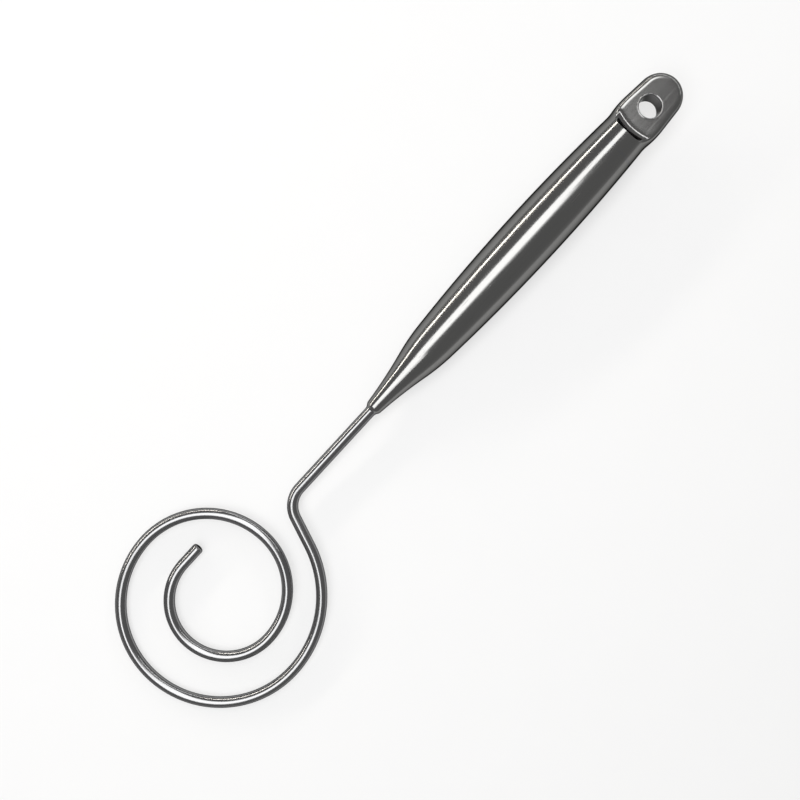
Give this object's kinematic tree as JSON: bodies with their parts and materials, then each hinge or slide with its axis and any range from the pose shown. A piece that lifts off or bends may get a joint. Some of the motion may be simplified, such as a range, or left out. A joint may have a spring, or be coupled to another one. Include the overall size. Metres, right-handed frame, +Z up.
{
  "type": "dough whisk",
  "caption": "Dough whisk: a thick round wire bent flat into an open spiral, held in a long hollow steel handle whose flattened end is drilled for hanging.",
  "frame": {"origin": "middle of the tool's box, on the table plane it rests on", "axes": "+X along the tool towards the hanging end, +Z up from the table; the spiral reaches farther towards -Y"},
  "size_m": [0.2804, 0.0742, 0.021],
  "materials": {
    "wire": "polished stainless steel",
    "handle": "satin stainless steel with fine lengthwise brushing",
    "liner": "polished stainless steel",
    "weld": "weld dressed smooth",
    "bush": "turned steel, hidden inside the handle"
  },
  "bodies": {
    "root": {"whisk_wire": "wire", "handle_barrel": "handle", "hanging_end": "handle", "hole_liner": "liner", "nose_weld": "weld", "tang_bush": "bush", "end_weld": "weld"}
  },
  "joints": []
}
